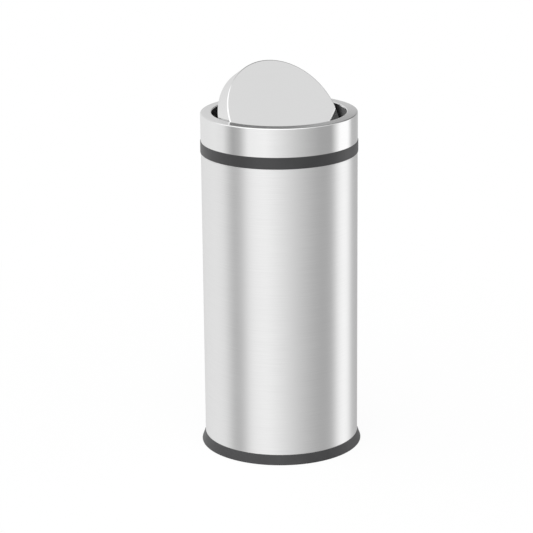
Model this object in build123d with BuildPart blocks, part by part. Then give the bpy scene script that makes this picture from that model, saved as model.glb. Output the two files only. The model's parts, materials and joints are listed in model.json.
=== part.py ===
"""Round steel waste bin with a swing lid: body, lift-off head, tumbling lid, inner bucket.

The origin is at the middle of the foot ring, on the floor, with +Z up. The lid turns about
an axis along X, and stands part open, its far edge raised towards +Y.
"""

import os
from math import asin, degrees, sqrt

from build123d import *

# Overall sizes of the bin
body_radius = 150.0
total_height = 662.0
base_height = 19.0
band_height = 22.0
shroud_height = 55.5
sheet = 0.8

# Gaps between pieces that only rest on each other, and between pieces that run in each other
seat_gap = 0.3
running_gap = 0.05

# Foot ring
base_flare = 7.0
ring_wall = 3.0
ring_depth = 11.0
ledge_height = 14.0
upstand_height = 15.0
ring_rib_count = 8
ring_rib_thickness = 2.0
ring_rib_foot_gap = 1.0

# Screws: shank radius, head across flats, head height, length under the head
screw_shank = 1.75
screw_flats = 6.0
screw_head_height = 2.2
boss_wall = 2.25
base_screw_count = 4
base_screw_length = 10.0
base_screw_angle = 45.0
head_screw_count = 4
head_screw_angle = 45.0
head_screw_length = 13.0

# Top edge of the body and the seam strip inside it
hem_depth = 10.0
seam_width = 12.0

# Band ring between the body and the head
band_proud = 1.2
spigot_depth = 24.5
spigot_wall = 2.8
spigot_clearance = 0.4
web_thickness = 3.0

# Head shroud
shroud_proud = 0.3
rim_width = 21.0
rim_chamfer = 1.4
lip_chamfer = 0.8
lip_depth = 3.5

# Head collar
collar_wall = 3.0
collar_flange = 12.0
collar_rib_count = 6
collar_rib_thickness = 2.0
collar_rib_chamfer = 3.0
collar_rib_slope = 12.0
collar_rib_inset = 1.0

# Lid pivots
pivot_margin = 10.4
pin_radius = 4.0
pin_grip = 17.0
pin_head_radius = 6.5
pin_head_thickness = 2.6
pin_slot_width = 1.4
pin_slot_depth = 1.2
bush_wall = 2.0
bush_flange_radius = 7.6
bush_flange_thickness = 1.1
boss_stand_out = 0.5
boss_radius = 10.0
boss_length = 16.0
boss_gusset = 3.0

# Lid
lid_tilt = 54.6
lid_gap = 2.3
lid_recess = 0.4
lid_depth = 35.0
lid_taper = 2.7
lid_sheet = 0.6
lid_edge_chamfer = 1.2
cover_lip = 2.4
dish_radius = 62.5
dish_depth = 10.0

# Beam that carries the lid on its pins
beam_width = 18.0
beam_end_gap = 0.6
beam_neck_radius = 7.0
beam_wall = 2.4
beam_pocket_depth = 14.0
beam_pocket_length = 62.0
beam_middle_rib = 12.0
beam_screw_spread = 80.0

# Counterweight in the dish of the cover
weight_side_gap = 2.5
weight_thickness = 8.0
weight_screw_spread = 40.0
cover_screw_length = 8.0

# Inner bucket
bucket_sheet = 0.6
bucket_headroom = 9.7
bucket_side_gap = 3.0
bucket_rim_width = 8.0
bucket_rim_lip = 5.0
bucket_floor_rise = 9.0

# Bail of the bucket: a flat strap that lies on the rim
strap_thickness = 2.0
strap_width = 10.0
strap_hole_radius = 2.5
strap_end_round = 4.5
ear_thickness = 1.5
ear_width = 18.0
ear_length = 30.0
ear_top_radius = 5.0
pivot_head_radius = 4.0
pivot_head_thickness = 1.2

# Heights and radii that follow
band_top = total_height - shroud_height
band_bottom = band_top - band_height
body_top = band_bottom - seat_gap
lid_rise = lid_depth - pivot_margin
pivot_drop = lid_recess + lid_rise
pivot_height = total_height - pivot_drop
body_inner = body_radius - sheet
hem_inner = body_inner - sheet
opening_radius = body_radius - rim_width
spigot_bottom = band_bottom - spigot_depth
bucket_rim_height = spigot_bottom - bucket_headroom - strap_width - seat_gap

os.makedirs("parts", exist_ok=True)


def save(part, name):
    """Label a finished piece and write it under its own name."""
    part.label = name
    export_step(part, f"parts/{name}.step")


def hex_screws(place, circle, count, angle, length):
    """Ring of hexagon-headed screws: heads on the plane's upper side, shanks below it."""
    ring = PolarLocations(circle, count, start_angle=angle)
    with BuildSketch(place) as heads:
        with ring:
            RegularPolygon(screw_flats / 2, 6, major_radius=False)
    extrude(heads.sketch, amount=screw_head_height)
    with BuildSketch(place) as shanks:
        with ring:
            Circle(screw_shank)
    extrude(shanks.sketch, amount=-length)


def pivot_rod(x, radius, length, mode=Mode.ADD):
    """Rod on the pivot axis, or a hole there, from a distance x from the middle."""
    with BuildSketch(Plane.YZ.offset(x)) as disc:
        with Locations((0, pivot_height)):
            Circle(radius)
    extrude(disc.sketch, amount=length, mode=mode)


# Foot ring: a flared moulding, hollow underneath, with an upstand that the body shell goes over
upstand_radius = body_inner - seat_gap
ledge_outer = upstand_radius - ring_wall
ledge_inner = upstand_radius - ring_depth
floor_radius = body_radius + shroud_proud + base_flare
hollow_top = ledge_height - ring_wall
hollow_inner = ledge_inner + ring_wall
hollow_outer = floor_radius - ring_wall - base_flare * hollow_top / base_height
base_screw_circle = (ledge_outer + ledge_inner) / 2

with BuildPart() as base_ring:
    with BuildSketch(Plane.XZ):
        with BuildLine():
            Polyline(
                (floor_radius, 0),
                (body_radius + shroud_proud, base_height),
                (upstand_radius, base_height),
                (upstand_radius, base_height + upstand_height),
                (ledge_outer, base_height + upstand_height),
                (ledge_outer, ledge_height),
                (ledge_inner, ledge_height),
                (ledge_inner, 0),
                (hollow_inner, 0),
                (hollow_inner, hollow_top),
                (hollow_outer, hollow_top),
                (floor_radius - ring_wall, 0),
                close=True,
            )
        make_face()
    revolve(axis=Axis.Z)
    with BuildSketch(Plane.XZ):
        with BuildLine():
            Polyline(
                (hollow_inner - ring_wall / 2, ring_rib_foot_gap),
                (hollow_inner - ring_wall / 2, hollow_top + ring_wall / 2),
                (hollow_outer, hollow_top + ring_wall / 2),
                (floor_radius - ring_wall, ring_rib_foot_gap),
                close=True,
            )
        make_face()
    ring_rib = extrude(amount=ring_rib_thickness / 2, both=True, mode=Mode.PRIVATE)
    with PolarLocations(0, ring_rib_count, start_angle=180 / ring_rib_count):
        add(ring_rib)
    with BuildSketch(Plane.XY.offset(ring_rib_foot_gap)):
        with PolarLocations(base_screw_circle, base_screw_count, start_angle=base_screw_angle):
            Circle(screw_shank + boss_wall)
    extrude(amount=ledge_height - ring_wall / 2)
    with Locations((0, 0, ledge_height)):
        with PolarLocations(base_screw_circle, base_screw_count, start_angle=base_screw_angle):
            Hole(screw_shank)
save(base_ring.part, "base_ring")

# Sheet steel floor, screwed to the ledge of the foot ring
with BuildPart() as base_pan:
    with BuildSketch(Plane.XY.offset(ledge_height)):
        Circle(ledge_outer - seat_gap)
        with PolarLocations(base_screw_circle, base_screw_count, start_angle=base_screw_angle):
            Circle(screw_shank, mode=Mode.SUBTRACT)
    extrude(amount=sheet)
save(base_pan.part, "base_pan")

with BuildPart() as base_screws:
    hex_screws(
        Plane.XY.offset(ledge_height + sheet),
        base_screw_circle,
        base_screw_count,
        base_screw_angle,
        base_screw_length,
    )
save(base_screws.part, "base_screws")

# Body shell: a rolled steel tube, its top edge folded inwards, with a seam strip at the back
with BuildPart() as body_shell:
    with BuildSketch(Plane.XZ):
        with BuildLine():
            Polyline(
                (body_radius, base_height),
                (body_radius, body_top),
                (hem_inner, body_top),
                (hem_inner, body_top - hem_depth),
                (body_inner, body_top - hem_depth),
                (body_inner, base_height),
                close=True,
            )
        make_face()
    revolve(axis=Axis.Z)
    seam_start = base_height + upstand_height + seat_gap
    with BuildSketch(Plane.XY.offset(seam_start)):
        with Locations((0, body_inner)):
            Rectangle(seam_width, 2 * sheet)
        Circle(body_inner + sheet / 2, mode=Mode.INTERSECT)
    extrude(amount=spigot_bottom - sheet - seam_start)
save(body_shell.part, "body_shell")

# Inner bucket: a straight can with a raised floor and an out-turned rim
bucket_radius = ledge_inner - bucket_side_gap
bucket_bottom = ledge_height + sheet + seat_gap
bucket_floor = bucket_bottom + bucket_floor_rise
bucket_rim_middle = bucket_rim_height - bucket_sheet / 2

with BuildPart() as bucket:
    with BuildSketch(Plane.XZ):
        with BuildLine():
            Polyline(
                (bucket_radius, bucket_bottom),
                (bucket_radius, bucket_rim_middle),
                (bucket_radius + bucket_rim_width, bucket_rim_middle),
                (bucket_radius + bucket_rim_width, bucket_rim_height - bucket_rim_lip),
            )
        trace(line_width=bucket_sheet)
        with BuildLine():
            Line((0, bucket_floor), (bucket_radius, bucket_floor))
        trace(line_width=bucket_sheet)
    revolve(axis=Axis.Z)
save(bucket.part, "bucket")

# Ears of the bail: tabs welded inside the bucket's rim
bail_height = bucket_rim_height + seat_gap + strap_width / 2
ear_half_width = ear_width / 2
ear_outer = sqrt((bucket_radius - bucket_sheet / 2) ** 2 - ear_half_width**2) - seat_gap
ear_inner = ear_outer - ear_thickness
pivot_radius = strap_hole_radius - running_gap

with BuildPart() as ear_right:
    with BuildSketch(Plane.YZ.offset(ear_inner)):
        with BuildLine():
            Polyline(
                (-ear_top_radius, bail_height),
                (-ear_half_width, bail_height - ear_length),
                (ear_half_width, bail_height - ear_length),
                (ear_top_radius, bail_height),
            )
            CenterArc((0, bail_height), ear_top_radius, 0, 180)
        make_face()
        with Locations((0, bail_height)):
            Circle(pivot_radius, mode=Mode.SUBTRACT)
    extrude(amount=ear_thickness)
save(ear_right.part, "ear_right")

with BuildPart() as ear_left:
    mirror(ear_right.part, about=Plane.YZ)
save(ear_left.part, "ear_left")

# Bail: a half-round strap lying on the rim, with an eye at each end
strap_inner = ear_outer + seat_gap
strap_outer = strap_inner + strap_thickness

with BuildPart() as bail_strap:
    with BuildSketch(Plane.XY.offset(bail_height - strap_width / 2)):
        Circle(strap_outer)
        Circle(strap_inner, mode=Mode.SUBTRACT)
        with Locations((0, strap_outer / 2)):
            Rectangle(2 * strap_outer, strap_outer, mode=Mode.INTERSECT)
        for side in (-1, 1):
            with Locations((side * (strap_inner + strap_thickness / 2), -strap_width / 4)):
                Rectangle(strap_thickness, strap_width / 2)
    extrude(amount=strap_width)
    strap_ends = bail_strap.edges().filter_by(Axis.X).group_by(Axis.Y)[0]
    fillet(strap_ends, strap_end_round)
    with BuildSketch(Plane.YZ):
        with Locations((0, bail_height)):
            Circle(strap_hole_radius)
    extrude(amount=body_radius, both=True, mode=Mode.SUBTRACT)
save(bail_strap.part, "bail_strap")

# Pivot rivets of the bail, fixed in the ears
with BuildPart() as bail_pivots:
    for side in (-1, 1):
        with BuildSketch(Plane.YZ.offset(side * ear_inner)):
            with Locations((0, bail_height)):
                Circle(pivot_radius)
        extrude(amount=side * (strap_outer + seat_gap - ear_inner))
        with BuildSketch(Plane.YZ.offset(side * (strap_outer + seat_gap))):
            with Locations((0, bail_height)):
                Circle(pivot_head_radius)
        extrude(amount=side * pivot_head_thickness)
save(bail_pivots.part, "bail_pivots")

# Band ring: the black band, the web that carries the head, and the spigot inside the body
band_radius = body_radius + band_proud
spigot_outer = hem_inner - spigot_clearance
spigot_inner = spigot_outer - spigot_wall
web_bottom = band_top - web_thickness
web_inner = opening_radius + collar_wall + seat_gap
head_screw_circle = (web_inner + spigot_inner) / 2

with BuildPart() as band_ring:
    with BuildSketch(Plane.XZ):
        with BuildLine():
            Polyline(
                (band_radius, band_bottom),
                (band_radius, band_top),
                (web_inner, band_top),
                (web_inner, web_bottom),
                (spigot_inner, web_bottom),
                (spigot_inner, spigot_bottom),
                (spigot_outer, spigot_bottom),
                (spigot_outer, band_bottom),
                close=True,
            )
        make_face()
    revolve(axis=Axis.Z)
    with Locations((0, 0, band_top)):
        with PolarLocations(head_screw_circle, head_screw_count, start_angle=head_screw_angle):
            Hole(screw_shank)
save(band_ring.part, "band_ring")

# Head shroud: a steel cap whose flat rim turns down into the opening
shroud_radius = body_radius + shroud_proud
shroud_inner = shroud_radius - sheet
shroud_middle = shroud_radius - sheet / 2
rim_middle = total_height - sheet / 2
lip_middle = opening_radius + sheet / 2

with BuildPart() as head_shroud:
    with BuildSketch(Plane.XZ):
        with BuildLine():
            Polyline(
                (shroud_middle, band_top),
                (shroud_middle, rim_middle - rim_chamfer),
                (shroud_middle - rim_chamfer, rim_middle),
                (lip_middle + lip_chamfer, rim_middle),
                (lip_middle, rim_middle - lip_chamfer),
                (lip_middle, total_height - lip_depth),
            )
        trace(line_width=sheet)
    revolve(axis=Axis.Z)
save(head_shroud.part, "head_shroud")

# Head collar: the black chute inside the opening, with its flange, ribs and pivot bosses
collar_top = total_height - lip_depth - seat_gap
collar_outer = opening_radius + collar_wall
flange_top = band_top + collar_wall
flange_outer = collar_outer + collar_flange
rib_top = total_height - sheet - seat_gap
rib_outer = shroud_inner - seat_gap
rib_root = collar_outer - collar_wall / 2
rib_foot = flange_outer - collar_rib_inset
boss_inner = opening_radius - boss_stand_out
bush_outer_radius = pin_radius + running_gap + bush_wall

with BuildPart() as head_collar:
    with BuildSketch(Plane.XZ):
        with BuildLine():
            Polyline(
                (opening_radius, band_bottom),
                (opening_radius, collar_top),
                (collar_outer, collar_top),
                (collar_outer, flange_top),
                (flange_outer, flange_top),
                (flange_outer, band_top),
                (collar_outer, band_top),
                (collar_outer, band_bottom),
                close=True,
            )
        make_face()
    revolve(axis=Axis.Z)
    with BuildSketch(Plane.XZ):
        with BuildLine():
            Polyline(
                (rib_root, band_top + collar_wall / 2),
                (rib_foot, band_top + collar_wall / 2),
                (rib_outer, flange_top + collar_rib_slope),
                (rib_outer, rib_top - collar_rib_chamfer),
                (rib_outer - collar_rib_chamfer, rib_top),
                (rib_root, rib_top),
                close=True,
            )
        make_face()
    collar_rib = extrude(amount=collar_rib_thickness / 2, both=True, mode=Mode.PRIVATE)
    with PolarLocations(0, collar_rib_count, start_angle=180 / collar_rib_count):
        add(collar_rib)
    for side in (-1, 1):
        pivot_rod(side * boss_inner, boss_radius, side * boss_length)
    with BuildSketch(Plane.XZ):
        for side in (-1, 1):
            with Locations((side * (rib_root + rib_foot) / 2, (flange_top + pivot_height) / 2)):
                Rectangle(rib_foot - rib_root, pivot_height - flange_top)
    extrude(amount=boss_gusset / 2, both=True)
    with BuildSketch(Plane.XY.offset(flange_top)):
        with PolarLocations(head_screw_circle, head_screw_count, start_angle=head_screw_angle):
            Circle(screw_shank + boss_wall)
    extrude(amount=head_screw_length - web_thickness)
    with Locations((0, 0, flange_top)):
        with PolarLocations(head_screw_circle, head_screw_count, start_angle=head_screw_angle):
            Hole(screw_shank)
    pivot_rod(-body_radius, bush_outer_radius, 2 * body_radius, Mode.SUBTRACT)
save(head_collar.part, "head_collar")

with BuildPart() as head_screws:
    hex_screws(
        Plane(origin=(0, 0, web_bottom), z_dir=(0, 0, -1)),
        head_screw_circle,
        head_screw_count,
        head_screw_angle,
        head_screw_length,
    )
save(head_screws.part, "head_screws")

# Nylon bushes in the collar's bosses, flanged on the side of the lid
pivot_axis = Axis((0, 0, pivot_height), (1, 0, 0))
pivot_section = Plane(origin=pivot_axis.position, x_dir=(1, 0, 0), z_dir=(0, -1, 0))
bush_face = boss_inner - bush_flange_thickness
bush_end = boss_inner + boss_length + seat_gap

with BuildPart() as bush_right:
    with BuildSketch(pivot_section):
        with BuildLine():
            Polyline(
                (bush_face, pin_radius + running_gap),
                (bush_face, bush_flange_radius),
                (boss_inner, bush_flange_radius),
                (boss_inner, bush_outer_radius),
                (bush_end, bush_outer_radius),
                (bush_end, pin_radius + running_gap),
                close=True,
            )
        make_face()
    revolve(axis=pivot_axis)
save(bush_right.part, "bush_right")

with BuildPart() as bush_left:
    mirror(bush_right.part, about=Plane.YZ)
save(bush_left.part, "bush_left")

# Pivot pins: headed pins that turn in the bushes and are fixed in the ends of the beam
neck_end = bush_face - seat_gap
pin_tip = neck_end - pin_grip
pin_head_seat = bush_end + seat_gap
pin_end = pin_head_seat + pin_head_thickness

with BuildPart() as pin_right:
    pivot_rod(pin_tip, pin_radius, pin_head_seat - pin_tip)
    pivot_rod(pin_head_seat, pin_head_radius, pin_head_thickness)
    with BuildSketch(Plane.YZ.offset(pin_end)):
        with Locations((0, pivot_height)):
            Rectangle(2 * pin_head_radius, pin_slot_width)
    extrude(amount=-pin_slot_depth, mode=Mode.SUBTRACT)
save(pin_right.part, "pin_right")

with BuildPart() as pin_left:
    mirror(pin_right.part, about=Plane.YZ)
save(pin_left.part, "pin_left")

# The lid is drawn about its own axis, which leans with it; heights run along that axis
lid_place = Location((0, 0, pivot_height), (lid_tilt, 0, 0))
lid_plane = Plane(lid_place)
lid_section = Plane(lid_place * Location((0, 0, 0), (90, 0, 0)))
lid_axis = Axis(lid_plane.origin, lid_plane.z_dir)
lid_back = lid_rise - lid_depth
lid_back_radius = sqrt((opening_radius - lid_gap) ** 2 - lid_back**2)
side_back = lid_back_radius - lid_sheet / 2
side_face = side_back - lid_taper
face_middle = lid_rise - lid_sheet / 2

# Lid shell: a flat polished face and a side that widens a little towards the back
with BuildPart() as lid_shell:
    with BuildSketch(lid_section):
        with BuildLine():
            Polyline(
                (0, face_middle),
                (side_face - lid_edge_chamfer, face_middle),
                (side_face, face_middle - lid_edge_chamfer),
                (side_back, lid_back),
            )
        trace(line_width=lid_sheet)
    revolve(axis=lid_axis)
    pivot_rod(-body_radius, beam_neck_radius + seat_gap, 2 * body_radius, Mode.SUBTRACT)
save(lid_shell.part, "lid_shell")

# Back cover: a pressed lid bottom with a turned-up lip and a round dish for the weight
cover_middle = lid_back + lid_sheet / 2
cover_inside = lid_back + lid_sheet
cover_rim = side_back - lid_sheet - seat_gap
panel_middle = cover_middle - dish_depth
panel_inside = panel_middle + lid_sheet / 2

with BuildPart() as lid_back_cover:
    with BuildSketch(lid_section):
        with BuildLine():
            Polyline(
                (0, panel_middle),
                (dish_radius, panel_middle),
                (dish_radius, cover_middle),
                (cover_rim, cover_middle),
                (cover_rim, cover_middle + cover_lip),
            )
        trace(line_width=lid_sheet)
    revolve(axis=lid_axis)
    with BuildSketch(lid_plane):
        with Locations((-beam_screw_spread, 0), (beam_screw_spread, 0)):
            Circle(screw_shank)
        with Locations((0, -weight_screw_spread), (0, weight_screw_spread)):
            Circle(screw_shank)
    extrude(amount=-lid_depth, mode=Mode.SUBTRACT)
save(lid_back_cover.part, "lid_back_cover")

# Pivot beam: a pocketed bar across the lid, on the cover, its necks through the side
beam_half_width = beam_width / 2
beam_end = sqrt((side_face - lid_sheet) ** 2 - beam_half_width**2) - beam_end_gap
beam_top = beam_half_width
pocket_middle = (beam_middle_rib + beam_pocket_length) / 2

with BuildPart() as pivot_beam:
    with BuildSketch(lid_plane.offset(cover_inside)):
        Rectangle(2 * beam_end, beam_width)
        with Locations((-beam_screw_spread, 0), (beam_screw_spread, 0)):
            Circle(screw_shank, mode=Mode.SUBTRACT)
    extrude(amount=beam_top - cover_inside)
    with BuildSketch(lid_plane.offset(beam_top)):
        with Locations((-pocket_middle, 0), (pocket_middle, 0)):
            Rectangle(beam_pocket_length, beam_width - 2 * beam_wall)
    extrude(amount=-beam_pocket_depth, mode=Mode.SUBTRACT)
    for side in (-1, 1):
        pivot_rod(side * beam_end, beam_neck_radius, side * (neck_end - beam_end))
        pivot_rod(side * pin_tip, pin_radius, side * pin_grip, Mode.SUBTRACT)
save(pivot_beam.part, "pivot_beam")

# Counterweight: an iron disc in the dish, which turns the lid level again
with BuildPart() as counterweight:
    with BuildSketch(lid_plane.offset(panel_inside)):
        Circle(dish_radius - weight_side_gap)
        with Locations((0, -weight_screw_spread), (0, weight_screw_spread)):
            Circle(screw_shank, mode=Mode.SUBTRACT)
    extrude(amount=weight_thickness)
save(counterweight.part, "counterweight")

# Screws through the cover: two into the beam, two into the counterweight
under_ledge = Plane(lid_place * Location((0, 0, lid_back), (180, 0, 0)))
under_dish = under_ledge.offset(dish_depth)

with BuildPart() as cover_screws:
    hex_screws(under_ledge, beam_screw_spread, 2, 0, cover_screw_length)
    hex_screws(under_dish, weight_screw_spread, 2, 90, cover_screw_length)
save(cover_screws.part, "cover_screws")
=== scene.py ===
"""Looks of the round swing-lid bin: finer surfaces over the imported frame, materials, light, camera.

Lengths are in metres, in the frame's own axes: +Z up, the lid's pivots along X.
"""

import json
import math

import bmesh
import bpy
from mathutils import Matrix, Vector

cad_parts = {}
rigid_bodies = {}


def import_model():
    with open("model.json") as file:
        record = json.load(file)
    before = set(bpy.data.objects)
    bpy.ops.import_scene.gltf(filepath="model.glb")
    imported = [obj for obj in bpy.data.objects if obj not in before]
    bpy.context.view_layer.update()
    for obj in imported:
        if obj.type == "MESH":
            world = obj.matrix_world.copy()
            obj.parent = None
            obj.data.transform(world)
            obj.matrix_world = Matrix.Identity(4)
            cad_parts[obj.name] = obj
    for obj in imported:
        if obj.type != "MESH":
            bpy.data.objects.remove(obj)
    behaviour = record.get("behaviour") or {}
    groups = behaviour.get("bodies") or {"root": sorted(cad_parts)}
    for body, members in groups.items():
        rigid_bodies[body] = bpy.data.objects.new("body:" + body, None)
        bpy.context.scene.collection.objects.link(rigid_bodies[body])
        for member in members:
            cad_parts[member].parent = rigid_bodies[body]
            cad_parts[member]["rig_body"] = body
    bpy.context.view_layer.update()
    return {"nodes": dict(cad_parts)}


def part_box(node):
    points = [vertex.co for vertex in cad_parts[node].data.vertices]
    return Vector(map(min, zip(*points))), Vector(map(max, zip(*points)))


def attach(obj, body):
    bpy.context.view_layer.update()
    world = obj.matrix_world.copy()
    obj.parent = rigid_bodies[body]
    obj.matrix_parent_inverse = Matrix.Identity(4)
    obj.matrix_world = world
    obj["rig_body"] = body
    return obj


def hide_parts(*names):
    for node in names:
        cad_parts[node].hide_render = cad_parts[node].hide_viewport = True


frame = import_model()

MM = 0.001
MICRON = 0.000001
STEPS = 192
BEND_STEPS = 6
SHARP_ANGLE = math.radians(32)
FLAT_ANGLE = math.radians(0.5)
WELD = 0.0001 * MM
CAD_WELD = 0.001 * MM
HOLE_SIDES = 48
HOLE_REACH = 0.4
QUARTER_TURN = 0.25

# Sheets, walls and gaps of the real pieces
SHEET = 0.8 * MM
BUCKET_SHEET = 0.6 * MM
LID_SHEET = 0.6 * MM
FOOT_WALL = 3.0 * MM
SPIGOT_WALL = 2.8 * MM
SPIGOT_GAP = 0.4 * MM
SEAT_GAP = 0.3 * MM

# Bends and eased edges
RIM_BEND = 1.8 * MM
LIP_BEND = 1.5 * MM
BAND_BEND = 0.9 * MM
FOOT_BEND = 1.2 * MM
LID_EDGE_BEND = 2.2 * MM
COVER_BEND = 1.6 * MM
DISH_BEND = 3.0 * MM
BUCKET_BEND = 3.0 * MM
MOULDED_BEND = 0.5 * MM
FASTENER_BEND = 0.35 * MM

# Body and foot
HEM_DEPTH = 10.0 * MM
HEM_EASE = 0.05 * MM
FOOT_STEP = 0.9 * MM
RIB_COUNT = 8
RIB_WIDTH = 2.0 * MM
RIB_LIFT = 1.0 * MM
RIB_OVERLAP = 0.5 * MM

# Bucket
BUCKET_FLANGE = 8.0 * MM
BUCKET_TURN_DOWN = 5.0 * MM
BUCKET_FLOOR_LIFT = 9.0 * MM
BUCKET_FLOOR_LIP = 6.0 * MM

# Head: the flat rim falls a little towards its outer edge
HEAD_CROWN = 0.7 * MM
LIP_DEPTH = 3.5 * MM

# The lid's own frame: its axis leans back from the pivots by the tilt at rest
LID_TILT = math.radians(54.6)
LID_DEPTH = 35.0 * MM
LID_TAPER = 2.7 * MM
NECK_RADIUS = 7.0 * MM
DISH_RADIUS = 62.5 * MM
DISH_DEPTH = 10.0 * MM
COVER_LIP = 2.4 * MM

# Camera: fitted to the photograph, aimed level with it and tilted down
CAMERA_DISTANCE = 4.154
CAMERA_HEIGHT = 1.591
CAMERA_AZIMUTH = math.radians(-36.24)
CAMERA_PITCH = math.radians(16.60)
CAMERA_YAW = math.radians(0.367)
CAMERA_ROLL = math.radians(-0.556)
CAMERA_LENS = 150.6
CAMERA_SENSOR = 36.0
CAMERA_FAR = 50.0


def reach(node):
    """Radii from the Z axis of a CAD node's nearest and farthest points."""
    radii = [math.hypot(v.co.x, v.co.y) for v in frame["nodes"][node].data.vertices]
    return min(radii), max(radii)


# Shapes


def turned(corners, closed):
    """Corners (radius, height, bend) as 2-D points, each corner turned on its bend."""
    points = []
    for i, (radius, height, bend) in enumerate(corners):
        here = Vector((radius, height))
        end = not closed and i in (0, len(corners) - 1)
        if bend == 0 or end:
            points.append(here)
            continue
        before = (Vector(corners[i - 1][:2]) - here).normalized()
        after = (Vector(corners[(i + 1) % len(corners)][:2]) - here).normalized()
        half = before.angle(after) / 2
        middle = here + (before + after).normalized() * (bend / math.sin(half))
        start = here + before * (bend / math.tan(half)) - middle
        finish = here + after * (bend / math.tan(half)) - middle
        sweep = math.atan2(start.cross(finish), start.dot(finish))
        for k in range(BEND_STEPS + 1):
            points.append(middle + Matrix.Rotation(sweep * k / BEND_STEPS, 2) @ start)
    return points


def sheet(corners, thickness):
    """Outline of a sheet of one thickness whose middle line runs through the corners."""
    line = turned(corners, False)
    left, right = [], []
    for i, point in enumerate(line):
        along = [
            (line[b] - line[a]).normalized()
            for a, b in ((i - 1, i), (i, i + 1))
            if a >= 0 and b < len(line) and (line[b] - line[a]).length > 0
        ]
        run = sum(along, Vector((0, 0))).normalized()
        side = Vector((-run.y, run.x)) * (thickness / 2 / max(run.dot(along[0]), 0.5))
        left.append(point + side)
        right.append(point - side)
    return left + right[::-1]


def finish_mesh(name, shape, body, slot, stands_for=(), place=Matrix.Identity(4)):
    """Turn a bmesh into a shaded piece that rides on a body and stands for CAD nodes."""
    bmesh.ops.remove_doubles(shape, verts=shape.verts, dist=WELD)
    bmesh.ops.recalc_face_normals(shape, faces=shape.faces)
    mesh = bpy.data.meshes.new(name)
    shape.to_mesh(mesh)
    shape.free()
    mesh.shade_smooth()
    mesh.set_sharp_from_angle(angle=SHARP_ANGLE)
    piece = bpy.data.objects.new(name, mesh)
    bpy.context.scene.collection.objects.link(piece)
    piece.matrix_world = place
    weighted = piece.modifiers.new("weighted", "WEIGHTED_NORMAL")
    weighted.keep_sharp = True
    piece.data.materials.append(MATERIALS[slot])
    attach(piece, body)
    if stands_for:
        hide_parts(*stands_for)
    return piece


def lathe_shape(outline, shape=None):
    """Closed outline of (radius, height) points turned about Z, as a bmesh."""
    shape = shape or bmesh.new()
    rings = []
    for point in outline:
        if point.x < 1e-6:
            rings.append([shape.verts.new((0, 0, point.y))])
            continue
        ring = []
        for k in range(STEPS):
            turn = 2 * math.pi * k / STEPS
            ring.append(shape.verts.new((point.x * math.cos(turn), point.x * math.sin(turn), point.y)))
        rings.append(ring)
    for lower, upper in zip(rings, rings[1:] + rings[:1]):
        if len(lower) == 1 and len(upper) == 1:
            continue
        for k in range(STEPS):
            corners = [
                lower[k % len(lower)],
                lower[(k + 1) % len(lower)],
                upper[(k + 1) % len(upper)],
                upper[k % len(upper)],
            ]
            shape.faces.new(list(dict.fromkeys(corners)))
    return shape


def lathe(name, outline, body, slot, stands_for=(), place=Matrix.Identity(4)):
    """A piece turned about its own Z axis."""
    return finish_mesh(name, lathe_shape(outline), body, slot, stands_for, place)


def eased(node, bend, slot):
    """A CAD node's own shape with its sharp edges rounded, standing for that node."""
    source = frame["nodes"][node]
    shape = bmesh.new()
    shape.from_mesh(source.data)
    bmesh.ops.remove_doubles(shape, verts=shape.verts, dist=CAD_WELD)
    bmesh.ops.dissolve_limit(
        shape, angle_limit=FLAT_ANGLE, verts=shape.verts, edges=shape.edges
    )
    edges = [e for e in shape.edges if e.is_manifold and e.calc_face_angle(0) > SHARP_ANGLE]
    bmesh.ops.bevel(
        shape,
        geom=edges,
        offset=bend,
        segments=2,
        profile=0.5,
        affect="EDGES",
        clamp_overlap=True,
    )
    bmesh.ops.triangulate(shape, faces=[f for f in shape.faces if len(f.verts) > 4])
    return finish_mesh(node + "_piece", shape, source["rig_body"], slot, (node,))


def cut_across(piece, radius, height):
    """Cut a level round hole through a piece along X, at a height in the frame."""
    bpy.ops.mesh.primitive_cylinder_add(
        vertices=HOLE_SIDES,
        radius=radius,
        depth=HOLE_REACH,
        location=(0, 0, height),
        rotation=(0, math.pi / 2, 0),
    )
    cutter = bpy.context.object
    cut = piece.modifiers.new("cut", "BOOLEAN")
    cut.operation = "DIFFERENCE"
    cut.object = cutter
    piece.modifiers.move(len(piece.modifiers) - 1, 0)
    bpy.context.view_layer.update()
    whole = piece.evaluated_get(bpy.context.evaluated_depsgraph_get())
    piece.modifiers.remove(cut)
    piece.data = bpy.data.meshes.new_from_object(whole)
    piece.data.shade_smooth()
    piece.data.set_sharp_from_angle(angle=SHARP_ANGLE)
    bpy.data.objects.remove(cutter)


# Materials


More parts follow.
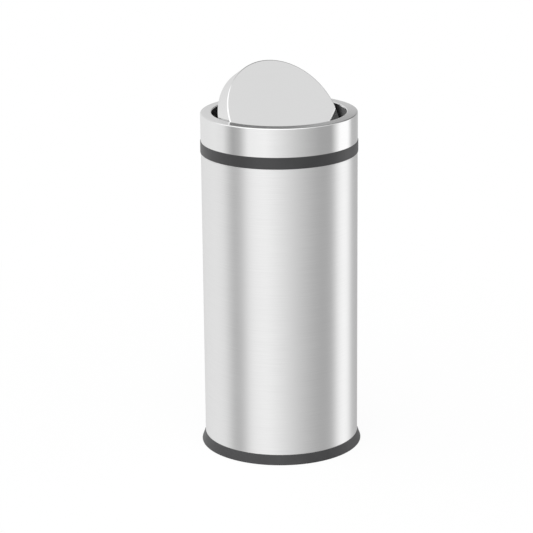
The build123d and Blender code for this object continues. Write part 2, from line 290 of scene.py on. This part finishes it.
class Nodes:
    """A material's node tree, with short calls for the nodes used here."""

    def __init__(self, name):
        self.material = bpy.data.materials.new(name)
        self.material.use_nodes = True
        self.tree = self.material.node_tree
        self.shader = self.tree.nodes["Principled BSDF"]

    def add(self, kind, operation=None, **inputs):
        """A new node whose inputs are given by name, or by place as i0, i1 and so on."""
        node = self.tree.nodes.new(kind)
        if operation:
            node.operation = operation
        for key, value in inputs.items():
            by_place = key[0] == "i" and key[1:].isdigit()
            socket = node.inputs[int(key[1:])] if by_place else node.inputs[key]
            if isinstance(value, bpy.types.NodeSocket):
                self.tree.links.new(value, socket)
            else:
                socket.default_value = value
        return node

    def link(self, value, socket):
        """Drive one of the shader's own inputs."""
        self.tree.links.new(value, self.shader.inputs[socket])

    def place(self):
        """Object position."""
        return self.add("ShaderNodeTexCoord").outputs["Object"]

    def stretched(self, scale):
        """Object position, scaled along each axis."""
        return self.add("ShaderNodeVectorMath", "MULTIPLY", i0=self.place(), i1=scale).outputs[0]

    def around(self, fine_along, fine_around, fine_out=0.0):
        """Position on a turned surface: its direction from Z, its height and its radius."""
        x, y, z = self.add("ShaderNodeSeparateXYZ", i0=self.place()).outputs
        xx = self.add("ShaderNodeMath", "MULTIPLY", i0=x, i1=x).outputs[0]
        radius = self.add("ShaderNodeMath", "MULTIPLY_ADD", i0=y, i1=y, i2=xx).outputs[0]
        radius = self.add("ShaderNodeMath", "SQRT", i0=radius).outputs[0]
        safe = self.add("ShaderNodeMath", "MAXIMUM", i0=radius, i1=1e-4).outputs[0]
        cos = self.add("ShaderNodeMath", "DIVIDE", i0=x, i1=safe).outputs[0]
        sin = self.add("ShaderNodeMath", "DIVIDE", i0=y, i1=safe).outputs[0]
        cos = self.add("ShaderNodeMath", "MULTIPLY", i0=cos, i1=fine_around).outputs[0]
        sin = self.add("ShaderNodeMath", "MULTIPLY", i0=sin, i1=fine_around).outputs[0]
        out = self.add("ShaderNodeMath", "MULTIPLY", i0=radius, i1=fine_out).outputs[0]
        high = self.add("ShaderNodeMath", "MULTIPLY_ADD", i0=z, i1=fine_along, i2=out).outputs[0]
        return self.add("ShaderNodeCombineXYZ", i0=cos, i1=sin, i2=high).outputs[0]

    def noise(self, vector, scale, detail=2.0, rough=0.5):
        node = self.add("ShaderNodeTexNoise", Vector=vector)
        node.inputs["Scale"].default_value = scale
        node.inputs["Detail"].default_value = detail
        node.inputs["Roughness"].default_value = rough
        return node.outputs["Fac"]

    def between(self, value, low, high, start=0.3, end=0.7):
        """A value's range from start to end, spread from low to high."""
        node = self.add("ShaderNodeMapRange")
        self.tree.links.new(value, node.inputs["Value"])
        node.inputs["From Min"].default_value = start
        node.inputs["From Max"].default_value = end
        node.inputs["To Min"].default_value = low
        node.inputs["To Max"].default_value = high
        return node.outputs["Result"]

    def blend(self, factor, low, high):
        """A colour from low to high."""
        node = self.tree.nodes.new("ShaderNodeMix")
        node.data_type = "RGBA"
        self.tree.links.new(factor, node.inputs["Factor"])
        node.inputs["A"].default_value = (*low, 1)
        node.inputs["B"].default_value = (*high, 1)
        return node.outputs["Result"]

    def bump(self, height, distance):
        """Relief as deep as the distance."""
        node = self.add("ShaderNodeBump", Height=height)
        node.inputs["Distance"].default_value = distance
        self.link(node.outputs["Normal"], "Normal")

    def grained_around(self):
        """Let the grain of the gloss follow the Z axis."""
        node = self.tree.nodes.new("ShaderNodeTangent")
        node.direction_type = "RADIAL"
        node.axis = "Z"
        self.link(node.outputs["Tangent"], "Tangent")

    def metal(self, anisotropic=0.0):
        """Bare metal, its gloss stretched by its grain."""
        self.shader.inputs["Metallic"].default_value = 1.0
        self.shader.inputs["Anisotropic"].default_value = anisotropic
        self.shader.inputs["Anisotropic Rotation"].default_value = QUARTER_TURN


def grey(level):
    """A neutral colour."""
    return (level, level, level)


def brushed_round(name, low, high, gloss, grain_depth, anisotropic):
    """Steel with hairlines that run round the bin."""
    m = Nodes(name)
    m.metal(anisotropic)
    m.grained_around()
    hairlines = m.around(fine_along=2600.0, fine_around=2.2, fine_out=2600.0)
    lines = m.noise(hairlines, scale=1.0, detail=3.0, rough=0.6)
    broad = m.noise(m.around(fine_along=9.0, fine_around=1.1), scale=1.0)
    m.link(m.blend(m.between(lines, 0.0, 1.0), low, high), "Base Color")
    fine = m.between(lines, gloss - 0.03, gloss + 0.03)
    m.link(m.add("ShaderNodeMath", "MULTIPLY_ADD", i0=broad, i1=0.05, i2=fine).outputs[0], "Roughness")
    m.bump(lines, grain_depth)
    return m.material


def polished(name, low, high, gloss, grain_depth):
    """Bright steel with very fine straight hairlines and faint handling marks."""
    m = Nodes(name)
    m.metal(0.3)
    lines = m.noise(m.stretched((12.0, 2200.0, 12.0)), scale=1.0, detail=3.0, rough=0.6)
    marks = m.noise(m.place(), scale=9.0, detail=3.0, rough=0.55)
    m.link(m.blend(m.between(lines, 0.0, 1.0), low, high), "Base Color")
    m.link(m.between(marks, gloss - 0.02, gloss + 0.05), "Roughness")
    m.bump(lines, grain_depth)
    return m.material


def moulded(name, low, high, gloss, grain, grain_depth):
    """Moulded plastic with a fine spark grain."""
    m = Nodes(name)
    fine = m.noise(m.place(), grain, 3.0, 0.6)
    broad = m.noise(m.place(), 14.0, 3.0)
    m.link(m.blend(m.between(broad, 0.0, 1.0), low, high), "Base Color")
    m.link(m.between(fine, gloss - 0.06, gloss + 0.08), "Roughness")
    m.bump(fine, grain_depth)
    return m.material


def spangled(name, low, high, gloss):
    """Galvanised sheet with its crystal pattern."""
    m = Nodes(name)
    m.metal()
    cells = m.add("ShaderNodeTexVoronoi", Vector=m.place())
    cells.inputs["Scale"].default_value = 110.0
    tone = m.add("ShaderNodeSeparateColor", i0=cells.outputs["Color"]).outputs[0]
    m.link(m.blend(tone, low, high), "Base Color")
    m.link(m.between(tone, gloss - 0.08, gloss + 0.08, 0.0, 1.0), "Roughness")
    m.bump(m.noise(m.place(), 260.0, 3.0), 30 * MICRON)
    return m.material


def plated(name, low, high, gloss):
    """Zinc plated small parts, a little cloudy."""
    m = Nodes(name)
    m.metal()
    cloud = m.noise(m.place(), 160.0, 4.0, 0.6)
    m.link(m.blend(m.between(cloud, 0.0, 1.0), low, high), "Base Color")
    m.link(m.between(cloud, gloss - 0.06, gloss + 0.08), "Roughness")
    m.bump(m.noise(m.place(), 1400.0, 2.0), 10 * MICRON)
    return m.material


def coated(name, low, high, gloss):
    """Coated iron casting with an orange-peel skin."""
    m = Nodes(name)
    peel = m.noise(m.place(), 420.0, 3.0, 0.55)
    m.shader.inputs["Metallic"].default_value = 0.3
    m.link(m.blend(m.between(peel, 0.0, 1.0), low, high), "Base Color")
    m.link(m.between(peel, gloss - 0.08, gloss + 0.08), "Roughness")
    m.bump(peel, 120 * MICRON)
    return m.material


MATERIALS = {
    "body_steel": brushed_round("body steel", grey(0.75), grey(0.82), 0.31, 1.5 * MICRON, 0.6),
    "head_steel": brushed_round("head steel", grey(0.77), grey(0.83), 0.15, 1.0 * MICRON, 0.6),
    "lid_steel": polished("lid steel", grey(0.775), grey(0.795), 0.08, 0.1 * MICRON),
    "inner_steel": spangled("galvanised steel", (0.44, 0.45, 0.46), (0.64, 0.65, 0.66), 0.42),
    "black_plastic": moulded(
        "black plastic", (0.024, 0.024, 0.025), (0.038, 0.038, 0.040), 0.42, 2600.0, 20 * MICRON
    ),
    "nylon": moulded("nylon", (0.70, 0.69, 0.64), (0.78, 0.77, 0.73), 0.42, 1800.0, 10 * MICRON),
    "iron": coated("coated iron", (0.030, 0.030, 0.032), (0.060, 0.060, 0.063), 0.5),
    "zinc": plated("zinc plate", (0.50, 0.51, 0.52), (0.68, 0.69, 0.70), 0.30),
}

# Body, foot and bucket

shell_low, shell_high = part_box("body_shell")
shell_inner, shell_outer = reach("body_shell")
wall = shell_outer - SHEET / 2
fold = wall - SHEET
hem_bend = SHEET / 2 + HEM_EASE
lathe(
    "body_tube",
    sheet(
        [
            (wall, shell_low.z, 0),
            (wall, shell_high.z - SHEET / 2, hem_bend),
            (fold, shell_high.z - SHEET / 2, hem_bend),
            (fold, shell_high.z - HEM_DEPTH, 0),
        ],
        SHEET,
    ),
    "body",
    "body_steel",
    ["body_shell"],
)

foot_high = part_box("base_ring")[1]
foot_inner, foot_outer = reach("base_ring")
foot_top = shell_low.z
foot_edge = reach("band_ring")[1] - FOOT_STEP
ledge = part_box("base_pan")[0].z
hollow = ledge - FOOT_WALL
upstand = min(shell_inner, wall - SHEET / 2) - SEAT_GAP
slope = (foot_outer - foot_edge) / foot_top
lathe(
    "foot_moulding",
    turned(
        [
            (foot_outer, 0, FOOT_BEND),
            (foot_edge, foot_top, MOULDED_BEND),
            (upstand, foot_top, 0),
            (upstand, foot_high.z, MOULDED_BEND),
            (upstand - FOOT_WALL, foot_high.z, MOULDED_BEND),
            (upstand - FOOT_WALL, ledge, 0),
            (foot_inner, ledge, MOULDED_BEND),
            (foot_inner, 0, MOULDED_BEND),
            (foot_inner + FOOT_WALL, 0, MOULDED_BEND),
            (foot_inner + FOOT_WALL, hollow, 0),
            (foot_outer - FOOT_WALL - slope * hollow, hollow, 0),
            (foot_outer - FOOT_WALL, 0, MOULDED_BEND),
        ],
        True,
    ),
    "body",
    "black_plastic",
    ["base_ring"],
)

# Flat ribs stand under the foot's ledge, their ends sunk into its walls
rib_in = foot_inner + FOOT_WALL / 2
rib_out = foot_outer - FOOT_WALL - slope * hollow + RIB_OVERLAP
rib_high = hollow + FOOT_WALL / 2
rib_middle = Vector(((rib_in + rib_out) / 2, 0, (RIB_LIFT + rib_high) / 2))
rib_size = Matrix.Diagonal((rib_out - rib_in, RIB_WIDTH, rib_high - RIB_LIFT, 1))
ribs = bmesh.new()
for k in range(RIB_COUNT):
    turn = Matrix.Rotation(2 * math.pi * (k + 0.5) / RIB_COUNT, 4, "Z")
    bmesh.ops.create_cube(ribs, size=1.0, matrix=turn @ Matrix.Translation(rib_middle) @ rib_size)
bmesh.ops.bevel(
    ribs, geom=ribs.edges[:], offset=FASTENER_BEND, segments=2, profile=0.5, affect="EDGES"
)
finish_mesh("foot_ribs", ribs, "body", "black_plastic")

bucket_low, bucket_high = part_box("bucket")
can_edge = reach("bucket")[1] - BUCKET_SHEET / 2
can = can_edge - BUCKET_FLANGE
rim = bucket_high.z - BUCKET_SHEET / 2
bucket_shape = lathe_shape(
    sheet(
        [
            (can, bucket_low.z, 0),
            (can, rim, BUCKET_BEND / 3),
            (can_edge, rim, BUCKET_BEND / 2),
            (can_edge, bucket_high.z - BUCKET_TURN_DOWN, 0),
        ],
        BUCKET_SHEET,
    )
)
bucket_floor = bucket_low.z + BUCKET_FLOOR_LIFT
lathe_shape(
    sheet(
        [
            (0, bucket_floor, 0),
            (can - BUCKET_SHEET / 2, bucket_floor, BUCKET_BEND),
            (can - BUCKET_SHEET / 2, bucket_floor + BUCKET_FLOOR_LIP, 0),
        ],
        BUCKET_SHEET,
    ),
    bucket_shape,
)
finish_mesh("bucket_can", bucket_shape, "bucket", "inner_steel", ["bucket"])

# Head

band_low, band_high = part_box("band_ring")
web_inner, band_outer = reach("band_ring")
spigot = shell_inner - SPIGOT_GAP
band_bottom = shell_high.z + SEAT_GAP
lathe(
    "band_moulding",
    turned(
        [
            (band_outer, band_bottom, BAND_BEND),
            (band_outer, band_high.z, BAND_BEND),
            (web_inner, band_high.z, MOULDED_BEND),
            (web_inner, band_high.z - FOOT_WALL, MOULDED_BEND),
            (spigot - SPIGOT_WALL, band_high.z - FOOT_WALL, 0),
            (spigot - SPIGOT_WALL, band_low.z, MOULDED_BEND),
            (spigot, band_low.z, MOULDED_BEND),
            (spigot, band_bottom, 0),
        ],
        True,
    ),
    "head",
    "black_plastic",
    ["band_ring"],
)

shroud_low, shroud_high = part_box("head_shroud")
opening, shroud_outer = reach("head_shroud")
side = shroud_outer - SHEET / 2
top = shroud_high.z - SHEET / 2
lip = opening + SHEET / 2
lathe(
    "head_cap",
    sheet(
        [
            (side, shroud_low.z, 0),
            (side, top - HEAD_CROWN, RIM_BEND),
            (lip, top, LIP_BEND),
            (lip, shroud_high.z - LIP_DEPTH, 0),
        ],
        SHEET,
    ),
    "head",
    "head_steel",
    ["head_shroud"],
)

# Lid, drawn about its own axis

pivot = (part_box("pin_left")[0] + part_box("pin_left")[1]).z / 2
lid_place = Matrix.Translation((0, 0, pivot)) @ Matrix.Rotation(LID_TILT, 4, "X")
lid_points = [lid_place.inverted() @ v.co for v in frame["nodes"]["lid_shell"].data.vertices]
lid_top = max(p.z for p in lid_points)
lid_back = lid_top - LID_DEPTH
side_back = max(math.hypot(p.x, p.y) for p in lid_points) - LID_SHEET / 2
side_face = side_back - LID_TAPER
face = lid_top - LID_SHEET / 2
lid_piece = lathe(
    "lid_pan",
    sheet([(0, face, 0), (side_face, face, LID_EDGE_BEND), (side_back, lid_back, 0)], LID_SHEET),
    "lid",
    "lid_steel",
    ["lid_shell"],
    lid_place,
)
cut_across(lid_piece, NECK_RADIUS + SEAT_GAP, pivot)

cover = lid_back + LID_SHEET / 2
cover_rim = side_back - LID_SHEET - SEAT_GAP
lathe(
    "lid_bottom",
    sheet(
        [
            (0, cover - DISH_DEPTH, 0),
            (DISH_RADIUS, cover - DISH_DEPTH, DISH_BEND),
            (DISH_RADIUS, cover, DISH_BEND / 2),
            (cover_rim, cover, COVER_BEND / 2),
            (cover_rim, cover + COVER_LIP, 0),
        ],
        LID_SHEET,
    ),
    "lid",
    "lid_steel",
    ["lid_back_cover"],
    lid_place,
)

# Pieces whose own shape is right, with their edges eased
EASED = {
    "head_collar": ("black_plastic", MOULDED_BEND / 2),
    "base_pan": ("inner_steel", 0.2 * MM),
    "bail_strap": ("zinc", FASTENER_BEND),
    "ear_left": ("inner_steel", 0.3 * MM),
    "ear_right": ("inner_steel", 0.3 * MM),
    "bail_pivots": ("zinc", FASTENER_BEND),
    "base_screws": ("zinc", FASTENER_BEND),
    "head_screws": ("zinc", FASTENER_BEND),
    "cover_screws": ("zinc", FASTENER_BEND),
    "bush_left": ("nylon", 0.25 * MM),
    "bush_right": ("nylon", 0.25 * MM),
    "pin_left": ("zinc", 0.4 * MM),
    "pin_right": ("zinc", 0.4 * MM),
    "pivot_beam": ("black_plastic", 0.6 * MM),
    "counterweight": ("iron", 0.8 * MM),
}
for node, (slot, bend) in EASED.items():
    eased(node, bend, slot)

# Floor, light and camera

FLOOR_SIZE = 6.0
FLOOR_FADE_START = 0.35
FLOOR_FADE_END = 1.4
FLOOR_BASE_WHITE = 0.93
FLOOR_COLOUR = grey(0.90)
FLOOR_GLOSS = 0.9
KEY_POWER = 14.0
KEY_SIZE = 1.6
KEY_PLACE = Vector((-1.6, -1.4, 2.6))
KEY_AIM = Vector((0, 0, 0.4))

# Studio seen by the steel, low and high: turn from the camera's side in degrees, brightness
STUDIO_LOW = [
    (-180, 0.72), (-150, 0.88), (-110, 0.96), (-90, 0.92), (-72, 0.44), (-60, 0.54), (-46, 1.04),
    (-20, 1.10), (0, 0.93), (15, 0.79), (30, 0.66), (45, 0.55), (62, 0.45), (82, 0.44),
    (92, 0.90), (100, 1.24), (120, 1.24), (132, 0.58), (150, 0.54), (168, 0.58), (180, 0.72),
]
STUDIO_HIGH = [
    (-180, 0.66), (-173, 0.86), (-120, 0.85), (-100, 1.45), (40, 1.45), (62, 0.88),
    (108, 0.88), (122, 0.22), (175, 0.22), (180, 0.50),
]

# How steeply a direction climbs where the high studio sets in, and where it has taken over
HIGH_START = 0.16
HIGH_FULL = 0.30

floor_mesh = bpy.data.meshes.new("floor")
half = FLOOR_SIZE / 2
floor_mesh.from_pydata(
    [(-half, -half, 0), (half, -half, 0), (half, half, 0), (-half, half, 0)], [], [(0, 1, 2, 3)]
)
floor = bpy.data.objects.new("floor", floor_mesh)
bpy.context.scene.collection.objects.link(floor)
floor.visible_glossy = False

paper = Nodes("floor paper")
paper.shader.inputs["Base Color"].default_value = (*FLOOR_COLOUR, 1)
paper.shader.inputs["Roughness"].default_value = FLOOR_GLOSS
glow = paper.add("ShaderNodeEmission")
distance = paper.add("ShaderNodeVectorMath", "LENGTH", i0=paper.place()).outputs["Value"]
white = paper.between(distance, FLOOR_BASE_WHITE, 1.0, FLOOR_FADE_START, FLOOR_FADE_END)
seen = paper.add("ShaderNodeLightPath").outputs["Is Camera Ray"]
share = paper.add("ShaderNodeMath", "MULTIPLY", i0=white, i1=seen).outputs[0]
mixed = paper.add("ShaderNodeMixShader", i0=share)
paper.tree.links.new(paper.shader.outputs[0], mixed.inputs[1])
paper.tree.links.new(glow.outputs[0], mixed.inputs[2])
paper.tree.links.new(mixed.outputs[0], paper.tree.nodes["Material Output"].inputs["Surface"])
floor_mesh.materials.append(paper.material)

world = bpy.data.worlds.new("studio")
bpy.context.scene.world = world
world.use_nodes = True
sky = world.node_tree
background = sky.nodes["Background"]
direction = sky.nodes.new("ShaderNodeTexCoord").outputs["Generated"]
turned_to_camera = sky.nodes.new("ShaderNodeVectorRotate")
turned_to_camera.rotation_type = "Z_AXIS"
turned_to_camera.inputs["Angle"].default_value = math.pi / 2 - CAMERA_AZIMUTH
sky.links.new(direction, turned_to_camera.inputs["Vector"])
split = sky.nodes.new("ShaderNodeSeparateXYZ")
sky.links.new(turned_to_camera.outputs[0], split.inputs[0])
azimuth = sky.nodes.new("ShaderNodeMath")
azimuth.operation = "ARCTAN2"
sky.links.new(split.outputs[1], azimuth.inputs[0])
sky.links.new(split.outputs[0], azimuth.inputs[1])
along = sky.nodes.new("ShaderNodeMapRange")
sky.links.new(azimuth.outputs[0], along.inputs["Value"])
along.inputs["From Min"].default_value = -math.pi
along.inputs["From Max"].default_value = math.pi


def studio_ramp(stops):
    """Brightness round the studio, from its stops."""
    ramp = sky.nodes.new("ShaderNodeValToRGB")
    sky.links.new(along.outputs[0], ramp.inputs[0])
    ramp.color_ramp.elements.remove(ramp.color_ramp.elements[-1])
    for i, (turn, level) in enumerate(stops):
        spot = (turn + 180) / 360
        stop = ramp.color_ramp.elements[0] if i == 0 else ramp.color_ramp.elements.new(spot)
        stop.position = spot
        stop.color = (level, level, level, 1)
    return ramp.outputs[0]


upward = sky.nodes.new("ShaderNodeMapRange")
upward.interpolation_type = "SMOOTHSTEP"
sky.links.new(split.outputs[2], upward.inputs["Value"])
upward.inputs["From Min"].default_value = HIGH_START
upward.inputs["From Max"].default_value = HIGH_FULL
overhead = sky.nodes.new("ShaderNodeMix")
overhead.data_type = "RGBA"
sky.links.new(upward.outputs[0], overhead.inputs["Factor"])
sky.links.new(studio_ramp(STUDIO_LOW), overhead.inputs["A"])
sky.links.new(studio_ramp(STUDIO_HIGH), overhead.inputs["B"])
rays = sky.nodes.new("ShaderNodeLightPath")
pick = sky.nodes.new("ShaderNodeMix")
pick.data_type = "RGBA"
sky.links.new(rays.outputs["Is Camera Ray"], pick.inputs["Factor"])
sky.links.new(overhead.outputs["Result"], pick.inputs["A"])
pick.inputs["B"].default_value = (1, 1, 1, 1)
sky.links.new(pick.outputs["Result"], background.inputs["Color"])

key_light = bpy.data.lights.new("key", "AREA")
key_light.energy = KEY_POWER
key_light.size = KEY_SIZE
key = bpy.data.objects.new("key", key_light)
bpy.context.scene.collection.objects.link(key)
key.location = KEY_PLACE
key.rotation_euler = (KEY_AIM - KEY_PLACE).to_track_quat("-Z", "Y").to_euler()
key.visible_glossy = False

view = bpy.data.cameras.new("camera")
view.lens = CAMERA_LENS
view.sensor_width = CAMERA_SENSOR
view.clip_end = CAMERA_FAR
camera = bpy.data.objects.new("camera", view)
bpy.context.scene.collection.objects.link(camera)
heading = Matrix.Rotation(CAMERA_AZIMUTH, 4, "Z")
camera.matrix_world = (
    heading
    @ Matrix.Translation((0, -CAMERA_DISTANCE, CAMERA_HEIGHT))
    @ Matrix.Rotation(CAMERA_YAW, 4, "Z")
    @ Matrix.Rotation(math.pi / 2 - CAMERA_PITCH, 4, "X")
    @ Matrix.Rotation(CAMERA_ROLL, 4, "Z")
)
bpy.context.scene.camera = camera
bpy.context.scene.view_settings.view_transform = "Standard"
